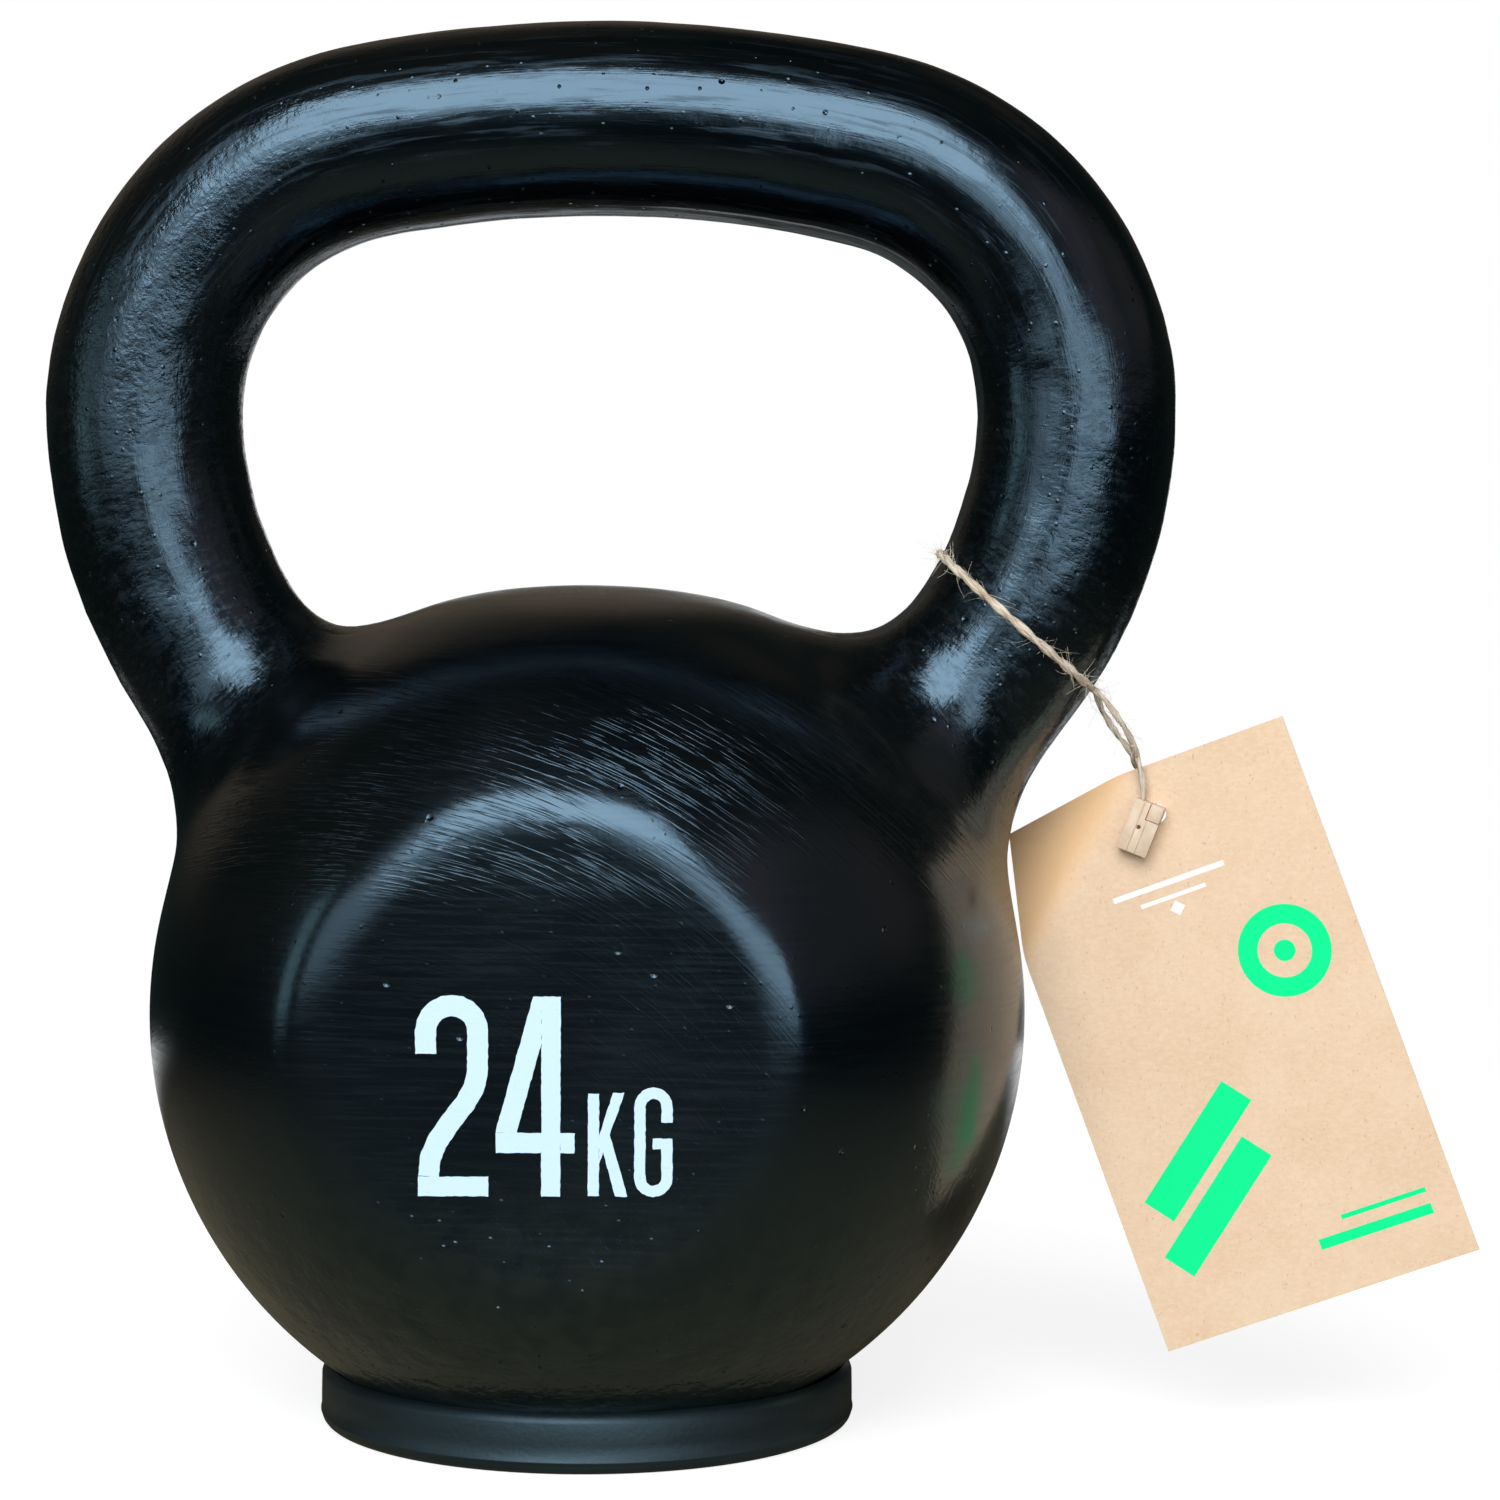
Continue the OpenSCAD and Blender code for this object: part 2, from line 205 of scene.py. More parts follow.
def loose_fibres(name, path, count, longest, seed):
    """Hairs that stand off the twine: thin bent slivers that start inside it."""
    dice = random.Random(seed)
    points, faces = [], []
    frames = frames_along(path)
    for _ in range(count):
        i = dice.randrange(len(path))
        ahead, side, up = frames[i]
        a = dice.uniform(0, 2 * math.pi)
        out = side * math.cos(a) + up * math.sin(a)
        lean = ahead * dice.uniform(-1.4, 1.4)
        curl = Vector([dice.uniform(-1, 1) for _ in range(3)])
        reach = longest * dice.uniform(0.2, 1) ** 2
        thick = dice.uniform(0.03, 0.06) * MM
        root = path[i] + out * twine_d * 0.3
        straight = (out * 0.7 + lean).normalized() * reach
        first = len(points)
        for j in range(5):
            t = j / 4
            p = root + straight * t + curl * reach * 0.45 * t * t
            for k in range(3):
                b = 2 * math.pi * k / 3
                points.append(p + (side * math.cos(b) + up * math.sin(b)) * thick * (1 - 0.6 * t))
        for j in range(4):
            for k in range(3):
                m, n = first + 3 * j + k, first + 3 * j + (k + 1) % 3
                faces.append((m, n, n + 3, m + 3))
        faces.append((first + 2, first + 1, first))
        faces.append((first + 12, first + 13, first + 14))
    mesh = bpy.data.meshes.new(name)
    mesh.from_pydata(points, [], faces)
    mesh.update()
    piece = bpy.data.objects.new(name, mesh)
    bpy.context.collection.objects.link(piece)
    return piece


class Shade:
    """One socket of a material's nodes. Arithmetic on it adds Math nodes."""

    def __init__(self, tree, socket=None):
        self.tree = tree
        self.socket = socket

    def add(self, kind, settings=None, inputs=None, output=0):
        """Any node: its settings first, then the values or links of its sockets."""
        node = self.tree.nodes.new(kind)
        for name, value in (settings or {}).items():
            setattr(node, name, value)
        for name, value in (inputs or {}).items():
            if isinstance(value, Shade):
                self.tree.links.new(value.socket, node.inputs[name])
            else:
                node.inputs[name].default_value = value
        return Shade(self.tree, node.outputs[output])

    def math(self, operation, *values):
        return self.add("ShaderNodeMath", {"operation": operation}, dict(enumerate(values)))

    def __add__(self, other):
        return self.math("ADD", self, other)

    __radd__ = __add__

    def __sub__(self, other):
        return self.math("SUBTRACT", self, other)

    def __rsub__(self, other):
        return self.math("SUBTRACT", other, self)

    def __mul__(self, other):
        return self.math("MULTIPLY", self, other)

    __rmul__ = __mul__

    def __truediv__(self, other):
        return self.math("DIVIDE", self, other)

    def __pow__(self, other):
        return self.math("POWER", self, other)

    def __abs__(self):
        return self.math("ABSOLUTE", self)

    def larger(self, other):
        return self.math("MAXIMUM", self, other)

    def smaller(self, other):
        return self.math("MINIMUM", self, other)

    def step(self, low, high):
        """0 below low, 1 above high, smooth between."""
        return self.add(
            "ShaderNodeMapRange", {"interpolation_type": "SMOOTHSTEP"},
            {"Value": self, "From Min": low, "From Max": high},
        )

    def mix(self, a, b):
        """Colour a where this is 0, and b where it is 1."""
        return self.add("ShaderNodeMix", {"data_type": "RGBA"}, {0: self, 6: a, 7: b}, 2)


def new_finish(name, **constants):
    """A material, its Principled BSDF with constant sockets set, and a start for its nodes."""
    material = bpy.data.materials.new(name)
    material.use_nodes = True
    bsdf = material.node_tree.nodes["Principled BSDF"]
    for socket, value in constants.items():
        bsdf.inputs[socket.replace("_", " ")].default_value = value
    return material, bsdf, Shade(material.node_tree)


def join(value, bsdf, socket):
    value.tree.links.new(value.socket, bsdf.inputs[socket])


def dress(piece, material):
    piece.data.materials.clear()
    piece.data.materials.append(material)


def noise_of(start, vector, scale, detail=3, rough=0.5, distortion=0.0):
    return start.add(
        "ShaderNodeTexNoise", {},
        {"Vector": vector, "Scale": scale, "Detail": detail, "Roughness": rough,
         "Distortion": distortion},
    )


def relief(height, bsdf, strength, distance):
    """A bump of this height under the surface."""
    values = {"Strength": strength, "Distance": distance, "Height": height}
    join(height.add("ShaderNodeBump", {}, values), bsdf, "Normal")


def stretched(start, vector, x, y, z):
    return start.add("ShaderNodeMapping", {}, {"Vector": vector, "Scale": (x, y, z)})


hemp, bsdf, start = new_finish("hemp", Roughness=0.9, Specular_IOR_Level=0.2)
along = start.add("ShaderNodeUVMap", {"uv_map": "along"})
fibre = noise_of(start, stretched(start, along, 3, 9, 1), 1, 4, 0.7)
patchy = noise_of(start, start.add("ShaderNodeTexCoord", output=3), 260, 2)
tone = fibre.step(0.3, 0.7).mix((0.36, 0.27, 0.18, 1), (0.72, 0.61, 0.47, 1))
join((patchy.step(0.35, 0.7) * 0.5).mix(tone, (0.74, 0.67, 0.57, 1)), bsdf, "Base Color")
relief(fibre, bsdf, 0.7, 0.1 * MM)
hairs, bsdf, start = new_finish(
    "hemp_hairs", Base_Color=(0.88, 0.80, 0.66, 1), Roughness=0.8, Specular_IOR_Level=0.3,
)

leg_path = smooth_path(
    list(reversed(in_metres(FRONT_STRAND)))
    + [loop_point(loop_open + 10 * i) for i in range(34)]
    + in_metres(BACK_STRAND),
    yarn_step,
)
twine = twisted_yarns("twine", [leg_path], seed=3, free=70)
twine_hairs = loose_fibres(
    "twine_hairs", leg_path[12:-12], count=700, longest=5.5 * MM, seed=4,
)
for piece, material in ((twine, hemp), (twine_hairs, hairs)):
    dress(piece, material)
    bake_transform(piece)
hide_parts("twine_loop", "strand_front", "strand_back")

front_tail, back_tail = (
    smooth_path(in_metres(strand[-2:] + tail[1:]), yarn_step)
    for strand, tail in ((FRONT_STRAND, FRONT_TAIL), (BACK_STRAND, BACK_TAIL))
)
tails = twisted_yarns("twine_tails", [front_tail, back_tail], seed=5, free=200)
tail_hairs = loose_fibres("tail_hairs", front_tail, count=40, longest=3 * MM, seed=6)
for piece, material in ((tails, hemp), (tail_hairs, hairs)):
    dress(piece, material)
    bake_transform(piece)
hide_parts("tail_front", "tail_back")

length_of(leg_path)


# ---- Stage ----
# The bell stands on a round white table in front of a white wall. A large soft light hangs
# above the viewer and three smaller ones stand low beside them. The rest of the room is
# dark, with a few warmer patches that show in the enamel.
key_range = 1.6
key_aim = Vector((0, 0, 0.16))
for name, turn, rise, width, height, glow, color in (
    ("key", -6, 34, 1.34, 1.08, 6.8, (0.96, 0.98, 1.0)),
    ("low", 22, 5, 1.30, 0.42, 3.6, (0.94, 0.98, 1.0)),
    ("low_left", -30, 8, 1.10, 0.48, 1.4, (0.94, 0.98, 1.0)),
    ("side", -66, 8, 0.40, 0.70, 1.2, (0.80, 1.0, 0.95)),
):
    turn, rise = math.radians(turn), math.radians(rise)
    toward = Vector(
        (math.sin(turn) * math.cos(rise), -math.cos(turn) * math.cos(rise), math.sin(rise))
    )
    bpy.ops.object.light_add(type="AREA", location=key_aim + toward * key_range)
    lamp = bpy.context.object
    lamp.name = name
    lamp.data.shape = "RECTANGLE"
    lamp.data.size = width
    lamp.data.size_y = height
    lamp.data.energy = glow * math.pi * width * height
    lamp.data.color = color
    lamp.rotation_euler = toward.to_track_quat("Z", "Y").to_euler()

world = bpy.data.worlds.new("studio")
bpy.context.scene.world = world
world.use_nodes = True
air = Shade(world.node_tree)


def light_paths(start):
    """Camera, glossy and transmission rays."""
    return [start.add("ShaderNodeLightPath", output=i) for i in (0, 3, 6)]


def facing(vector, way):
    """How far a vector points this way."""
    values = {0: vector, 1: way}
    return vector.add("ShaderNodeVectorMath", {"operation": "DOT_PRODUCT"}, values, 1)


seen, glossy, clear = light_paths(air)
direction = air.add("ShaderNodeTexCoord", output=0)
risen = facing(direction, (0, 0, 1)).step(0.0, 0.3)
patches = noise_of(air, direction, 2.3, 3, 0.55).step(0.45, 0.65) * (0.15 + 0.85 * risen)
room = patches.mix((0.012, 0.02, 0.018, 1), (0.075, 0.055, 0.042, 1))
for toward, low, high, tone in (
    ((0.777, -0.505, 0.375), 0.88, 0.96, (0.42, 0.27, 0.26, 1)),
    ((0.940, -0.100, 0.330), 0.88, 0.97, (0.20, 0.15, 0.13, 1)),
    ((-0.393, 0.865, 0.312), 0.80, 0.97, (0.17, 0.135, 0.10, 1)),
):
    room = (facing(direction, toward).step(low, high) * risen).mix(room, tone)
white = (1, 1, 1, 1)
room = facing(direction, (0, 1, 0)).step(0.972, 0.99).mix(room, white)
indoors = glossy.larger(clear).mix((0.16, 0.165, 0.17, 1), room)
join(seen.mix(indoors, white), world.node_tree.nodes["Background"], "Color")

bpy.ops.object.select_all(action="DESELECT")
bpy.ops.mesh.primitive_circle_add(vertices=96, radius=0.6, fill_type="NGON", location=(0, 0, 0))
floor = bpy.context.object
floor.name = "table"
paper, bsdf, start = new_finish(
    "paper", Roughness=0.9, Specular_IOR_Level=0.1, Emission_Strength=1,
)
seen, glossy, clear = light_paths(start)
spot = start.add("ShaderNodeTexCoord", output=3)
far = start.add("ShaderNodeVectorMath", {"operation": "LENGTH"}, {0: spot}, 1)
shown = seen.larger(glossy.larger(clear) * facing(spot, (0, 1, 0)).step(0.25, 0.5))
floor.data.materials.append(paper)
# near the bell the table is grey, but olive brown to glossy rays: a painted tone for the ground's
# reflection in the enamel
near_grey_and_painted_reflection = glossy.mix((0.34, 0.34, 0.33, 1), (0.29, 0.25, 0.16, 1))
join(far.step(0.08, 0.55).mix(near_grey_and_painted_reflection, (0.04, 0.04, 0.035, 1)), bsdf, "Base Color")
join(shown * (0.82 + 0.18 * far.step(0.1, 0.4)), bsdf, "Emission Color")


# ---- Casting ----
# The ball, the legs and the top bar are one sand casting in grey iron, and everything else
# is held by it. It was linished, then brushed with thick black enamel, which follows the
# pits and lumps of the sand.
def merged_copy(node, name):
    """A copy of a CAD node with its loose triangles joined."""
    piece = bpy.data.objects.new(name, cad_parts[node].data.copy())
    bpy.context.collection.objects.link(piece)
    bpy.ops.object.select_all(action="DESELECT")
    bpy.context.view_layer.objects.active = piece
    piece.select_set(True)
    bpy.ops.object.mode_set(mode="EDIT")
    bpy.ops.mesh.select_all(action="SELECT")
    bpy.ops.mesh.remove_doubles(threshold=1e-6)
    bpy.ops.object.mode_set(mode="OBJECT")
    return piece


def apply_all(piece):
    bpy.ops.object.select_all(action="DESELECT")
    bpy.context.view_layer.objects.active = piece
    piece.select_set(True)
    for modifier in list(piece.modifiers):
        bpy.ops.object.modifier_apply(modifier=modifier.name)


casting = merged_copy("casting", "iron_casting")
bpy.ops.object.mode_set(mode="EDIT")
bpy.ops.mesh.select_all(action="SELECT")
bpy.ops.mesh.tris_convert_to_quads(
    face_threshold=math.radians(60), shape_threshold=math.radians(180),
)
bpy.ops.object.mode_set(mode="OBJECT")
fine = casting.modifiers.new("fine", "SUBSURF")
fine.levels = fine.render_levels = 2
apply_all(casting)

# the subdivision drew the skin in a little, so it is pushed out again
regrown = casting.modifiers.new("regrown", "DISPLACE")
regrown.strength = 0.25 * MM
regrown.mid_level = 0
apply_all(casting)

HANDLE_LINE = [
    (-26, 121), (-48, 130), (-72, 150), (-88, 177), (-93, 208), (-90, 227), (-80, 244), (-65, 257),
    (-47, 263.5), (-21, 267), (1, 268), (27, 267), (58, 262), (72.5, 256), (87, 244), (96, 227.5),
    (99.5, 209), (94, 179), (79, 153), (56, 134), (35, 125),
]
middle_step = 2 * MM
middle = smooth_path([Vector((x, 0, z)) * MM for x, z in HANDLE_LINE], middle_step)
tree = KDTree(len(middle))
for i, p in enumerate(middle):
    tree.insert(p, i)
tree.balance()


def on_bar(p):
    """Place along the handle, distance from its middle line to the inside, and depth."""
    near, i, _ = tree.find((p.x, 0, p.z))
    ahead = (middle[min(i + 1, len(middle) - 1)] - middle[max(i - 1, 0)]).normalized()
    off = Vector((p.x, 0, p.z)) - near
    return Vector((middle_step * i + off.dot(ahead), off.x * ahead.z - off.z * ahead.x, p.y))


def ramp(value, low, high):
    """0 below low, 1 above high, even between."""
    return min(max((value - low) / (high - low), 0), 1)


rough_cast = casting.vertex_groups.new(name="rough_cast")
for v in casting.data.vertices:
    _, inward, depth = on_bar(v.co)
    on_ball = ramp(math.hypot(inward, depth), 22 * MM, 35 * MM)
    in_grip = ramp(v.co.z, 220 * MM, 250 * MM)
    rough_cast.add([v.index], max(1 - on_ball, 0.1) * (1 - 0.6 * in_grip), "REPLACE")
for name, size, depth in (("swell", 0.034, 1.0 * MM), ("lump", 0.010, 0.5 * MM)):
    cloud = bpy.data.textures.new(name, "CLOUDS")
    cloud.noise_scale = size
    cloud.noise_depth = 2
    push = casting.modifiers.new(name, "DISPLACE")
    push.texture = cloud
    push.texture_coords = "LOCAL"
    push.mid_level = 0.5
    push.strength = depth
    push.vertex_group = "rough_cast"
apply_all(casting)
bpy.ops.object.shade_smooth()

# the two flats were ground last, so they are true and leave a soft rim all round
iron_low, iron_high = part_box("casting")
ball_z, ball_r = 84.5 * MM, 90 * MM
flat_rim, flat_fade = 66 * MM, 8 * MM


def ground_skin(reach, y, rim_soft):
    """Distance outside the ball cut by its flat, with the rim between them rounded."""
    ball, room = math.hypot(reach, y) - ball_r, iron_high[1] - y
    return max(ball, -room) + max(rim_soft - abs(ball + room), 0) ** 2 / (4 * rim_soft)


def ground_depth(reach, rim_soft):
    """Where that skin lies in front of the ball's middle plane."""
    inside, outside = 0, iron_high[1]
    for _ in range(18):
        y = (inside + outside) / 2
        inside, outside = (y, outside) if ground_skin(reach, y, rim_soft) < 0 else (inside, y)
    return y


lengthwise = casting.data.attributes.new("lengthwise", "FLOAT_VECTOR", "POINT")
for v in casting.data.vertices:
    reach = math.hypot(v.co.x, v.co.z - ball_z)
    if reach < flat_rim and abs(v.co.y) > 0.5 * ball_r:
        rim_soft = (2.5 + 1.4 * max(-v.co.x / max(reach, MM), 0)) * MM
        ground = math.copysign(ground_depth(reach, rim_soft), v.co.y)
        below_handle = 1 - ramp(v.co.z, 135 * MM, 155 * MM)
        blend = min((flat_rim - reach) / flat_fade, 1) * below_handle
        v.co.y += (ground - v.co.y) * blend
    v.co = [min(max(c, a), b) for c, a, b in zip(v.co, iron_low, iron_high)]
    lengthwise.data[v.index].vector = on_bar(v.co)

enamel, bsdf, start = new_finish("enamel", IOR=1.72, Specular_Tint=(0.47, 0.75, 1.0, 1))
place = start.add("ShaderNodeTexCoord", output=3)
bar_place = start.add("ShaderNodeAttribute", {"attribute_name": "lengthwise"}, output=1)


def parts_of(vector):
    split = vector.add("ShaderNodeSeparateXYZ", {}, {0: vector})
    return [Shade(vector.tree, split.socket.node.outputs[i]) for i in range(3)]


x, y, z = parts_of(place)
_, across, depth = parts_of(bar_place)
handle = 1 - ((across * across + depth * depth) ** 0.5).step(0.021, 0.034)
legs = handle * (1 - z.step(0.20, 0.25))
corner = handle * x.step(-0.03, -0.08) * z.step(0.19, 0.22)

# brush marks run along the handle, and short ripples lie across its legs (heights in metres)
streaks = noise_of(start, stretched(start, bar_place, 45, 620, 620), 1, 4, 0.62, 0.3)
hairlines = noise_of(start, stretched(start, bar_place, 110, 2600, 2600), 1, 2, 0.5)
ripples = noise_of(start, stretched(start, bar_place, 640, 230, 230), 1, 3, 0.6, 0.6)
sand = noise_of(start, place, 170, 4, 0.55)
skin = noise_of(start, place, 620, 2, 0.5)
low_ball = 1 - z.step(0.02, 0.075)
height = handle * (streaks * 40e-6 + hairlines * 20e-6) + legs * ripples * 80e-6
grit = noise_of(start, place, 760, 3, 0.6)
height = height + (0.3 + 0.7 * handle + 7 * low_ball) * sand * 80e-6 + skin * 8e-6
height = height + corner * (sand * 220e-6 + grit * 140e-6)
height = height + (0.3 + legs + low_ball) * grit * 50e-6

# the ball was rubbed down in long arcs round one point, which show best above the front flat
turn_x, turn_z = -0.041, 0.020
aside, above = x - turn_x, z - turn_z
reach = (aside * aside + above * above) ** 0.5
sweep = above.math("ARCTAN2", above, aside)
arc_place = start.add("ShaderNodeCombineXYZ", {}, {0: reach * 2300, 1: sweep * 9, 2: y * 60})
arcs = noise_of(start, arc_place, 1, 2, 0.5)
rubbed = noise_of(start, place, 45, 2)
ball = 1 - handle
upper = ball * z.step(0.112, 0.125) * (1 - z.step(0.140, 0.160)) * rubbed.step(0.34, 0.56)
height = height + arcs.step(0.5, 0.65) * (0.12 + 2 * upper) * ball * 34e-6
brush = noise_of(start, stretched(start, place, 55, 55, 1300), 1, 3, 0.6, 0.4)
height = height + brush * ball * z.step(0.06, 0.12) * rubbed.step(0.3, 0.6) * 13e-6

# the two halves of the mould met in the handle's middle and left a low dull ridge inside it
off_middle = abs(depth)
inner = handle * across.step(0.010, 0.015) * x.step(-0.01, 0.05)
height = height + inner * (1 - off_middle.step(0.0002, 0.0014)) * 140e-6
dull = inner * (1 - off_middle.step(0.0068, 0.0078))
height = height - dull * 220e-6


def dots(scale, size, share_left_out):
    """Scattered round dots, 1 in their middles: some of the cells of a Voronoi pattern."""
    cells = [
        start.add("ShaderNodeTexVoronoi", {}, {"Vector": place, "Scale": scale}, i) for i in (0, 1)
    ]
    kept = parts_of(cells[1])[0].step(share_left_out, share_left_out + 0.02)
    return (1 - cells[0].step(0.0, size)) * kept


# grains of sand stand under the enamel, and a few gas holes are left open
height = height + dots(330, 0.17, 0.3) * (0.2 + 0.8 * handle + 1.2 * low_ball) * 160e-6
height = height - dots(140, 0.11, 0.7) * (1 + 1.5 * low_ball) * 240e-6
relief(height, bsdf, 1, 1)
tint = noise_of(start, place, 16, 3)
black = tint.step(0.35, 0.7).mix((0.0004, 0.0008, 0.0012, 1), (0.0016, 0.0021, 0.0019, 1))
# low on the ball the black turns a mottled olive grey: a painted reflection of the ground below
painted_ground_reflection = sand.step(0.35, 0.62).mix((0.0015, 0.0022, 0.0014, 1), (0.0075, 0.0095, 0.0055, 1))
black = (low_ball * 0.8).mix(black, painted_ground_reflection)
join(dull.mix(black, (0.012, 0.013, 0.010, 1)), bsdf, "Base Color")
wear = noise_of(start, place, 40, 3)
on_grip = (handle - legs) * streaks.step(0.48, 0.68)
brushed = on_grip + legs * (ripples * 0.6 + grit * 0.4).step(0.4, 0.68) * 0.8
rough = 0.15 - handle * 0.03 + wear * 0.08 + brushed * 0.26 + corner * 0.04 + dull * 0.25
join(rough + ball * brush.step(0.4, 0.65) * 0.05, bsdf, "Roughness")
dress(casting, enamel)
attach(casting, "bell")
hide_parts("casting")


# ---- Boot ----
# A moulded rubber cup is pushed over the foot of the ball and grips it by its own stretch.
# Its rim is rounded, and a thin lip runs round the sole, where the mould closed.
boot_low, boot_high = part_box("boot")
boot_r = (boot_high[0] - boot_low[0]) / 2
boot_top = boot_high[2]
inner_r = 89.9 * MM
sole = 4.5 * MM


def ball_at(z):
    return math.sqrt(inner_r ** 2 - (z - ball_z) ** 2)


def arc_points(x, z, radius, first, last, count=10):
    """Even points on an arc round (x, z), from one angle to another in degrees."""
    turns = [math.radians(first + (last - first) * i / count) for i in range(count + 1)]
    return [(x + radius * math.cos(a), z + radius * math.sin(a)) for a in turns]


wall_r = boot_r - 0.8 * MM
wall_top = 6 * MM
shoulder = 2.9 * MM
foot_round = 2.2 * MM
lip_r = wall_r + 0.18 * MM
profile = [(0, 0)] + arc_points(wall_r - foot_round, foot_round, foot_round, -90, 0, 6)
profile += [(lip_r, 2.4 * MM), (lip_r, 2.7 * MM), (wall_r, 2.9 * MM), (wall_r, wall_top)]
profile += arc_points(wall_r - shoulder, boot_top - shoulder, shoulder, 0, 90, 7)[1:]
profile = [p for p in profile if p[0] >= ball_at(max(p[1], sole)) or p[1] <= wall_top]
for z_in in (11.0, 9.0, 7.0, 5.5, 4.5):
    profile.append((ball_at(z_in * MM), z_in * MM))
profile.append((0, sole))
mesh = bpy.data.meshes.new("rubber_boot")
edges = [(i, i + 1) for i in range(len(profile) - 1)]
mesh.from_pydata([(r, 0, z) for r, z in profile], edges, [])
boot = bpy.data.objects.new("rubber_boot", mesh)
bpy.context.collection.objects.link(boot)
bpy.ops.object.select_all(action="DESELECT")
bpy.context.view_layer.objects.active = boot
boot.select_set(True)
bpy.ops.object.mode_set(mode="EDIT")
bpy.ops.mesh.select_all(action="SELECT")
bpy.ops.mesh.spin(steps=180, angle=2 * math.pi, center=(0, 0, 0), axis=(0, 0, 1))
bpy.ops.mesh.select_all(action="SELECT")
bpy.ops.mesh.remove_doubles(threshold=1e-5)
bpy.ops.mesh.normals_make_consistent(inside=False)
bpy.ops.object.mode_set(mode="OBJECT")
bpy.ops.object.shade_smooth_by_angle(angle=math.radians(50))

rubber, bsdf, start = new_finish("rubber", IOR=1.6, Specular_Tint=(0.5, 0.8, 1.0, 1))
place = start.add("ShaderNodeTexCoord", output=3)
grain = noise_of(start, place, 900, 3)
smear = noise_of(start, stretched(start, place, 30, 30, 260), 1, 3)
relief(grain + smear, bsdf, 0.5, 0.12 * MM)
tone = smear.step(0.3, 0.75).mix((0.0035, 0.006, 0.007, 1), (0.008, 0.012, 0.014, 1))
join(tone, bsdf, "Base Color")
join(0.34 + smear * 0.25, bsdf, "Roughness")
dress(boot, rubber)
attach(boot, "bell")
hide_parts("boot")


# ---- Weight mark ----
# The weight is stencilled on the front flat in one thick coat of white paint, with tall
# narrow numerals and small capitals for the unit.
flat_y = -0.077
digit_top = 96.1
digit_left = -24.2
mark_lean = 0.014


def ribbon(points, width):
    """Outline of a stroke of even width along the points."""
    left, right = [], []
    for i, p in enumerate(points):
        p = Vector(p)
        before = (p - Vector(points[i - 1])).normalized() if i else None
        after = (Vector(points[i + 1]) - p).normalized() if i < len(points) - 1 else None
        ahead = ((before or after) + (after or before)).normalized()
        out = Vector((-ahead.y, ahead.x)) * width / 2 / max(ahead.dot(before or after), 0.5)
        left.append(p + out)
        right.append(p - out)
    return left + right[::-1]


def bar(x0, z0, x1, z1):
    return [(x0, z0), (x1, z0), (x1, z1), (x0, z1)]


STROKES = [
    ribbon([(2.0, -11.1)] + arc_points(6.9, -6.9, 4.95, 180, 0)
           + [(11.8, -14.9), (11.1, -17.6), (9.5, -20.4), (6.2, -24.7), (4.1, -27.9),
              (2.9, -30.8), (2.6, -34.3)], 3.95),
    bar(0.6, -34.3, 13.9, -38.0),
    [(22.3, -0.3), (23.9, -0.3), (23.9, -9.0), (19.2, -26.0), (15.3, -26.0), (15.3, -25.6)],
    bar(23.9, -0.3, 27.5, -38.0),
    bar(15.3, -26.0, 23.9, -29.8),
    bar(27.5, -26.0, 30.2, -29.8),
    bar(32.7, -18.6, 34.8, -37.9),
    [(34.8, -26.6), (37.4, -18.4), (39.6, -18.4), (36.8, -26.3), (34.8, -31.9)],
    [(35.6, -29.6), (36.8, -26.3), (40.2, -38.0), (37.9, -38.0)],
    ribbon([(47.6, -24.0)] + arc_points(45.05, -21.0, 2.55, 0, 180)
           + arc_points(45.05, -34.4, 2.55, 180, 360) + [(47.6, -27.0)], 2.1),
    bar(44.9, -27.0, 46.55, -29.0),
]
dice = random.Random(11)
stencil_parts = []
for outline in STROKES:
    edge = []
    for a, b in zip(outline, outline[1:] + outline[:1]):
        a, b = Vector(a), Vector(b)
        count = max(1, round((b - a).length / 0.7))
        edge += [a.lerp(b, i / count) for i in range(count)]
    rough = [p + Vector((dice.uniform(-0.07, 0.07), dice.uniform(-0.07, 0.07))) for p in edge]
    front = flat_y - 1.5 * MM
    mesh = bpy.data.meshes.new("stroke")
    mesh.from_pydata(
        [((digit_left + p.x) * MM, front, (digit_top + p.y + mark_lean * p.x) * MM)
         for p in rough],
        [], [tuple(range(len(rough)))],
    )
    part = bpy.data.objects.new("stroke", mesh)
    bpy.context.collection.objects.link(part)
    bpy.ops.object.select_all(action="DESELECT")
    bpy.context.view_layer.objects.active = part
    part.select_set(True)
    bpy.ops.object.mode_set(mode="EDIT")
    bpy.ops.mesh.select_all(action="SELECT")
    bpy.ops.mesh.extrude_region_move(TRANSFORM_OT_translate={"value": (0, 3 * MM, 0)})
    bpy.ops.mesh.select_all(action="SELECT")
    bpy.ops.mesh.normals_make_consistent(inside=False)
    bpy.ops.object.mode_set(mode="OBJECT")
    stencil_parts.append(part)
bpy.ops.object.select_all(action="DESELECT")
for part in stencil_parts:
    part.select_set(True)
bpy.context.view_layer.objects.active = stencil_parts[0]
bpy.ops.object.join()
stencil = bpy.context.object

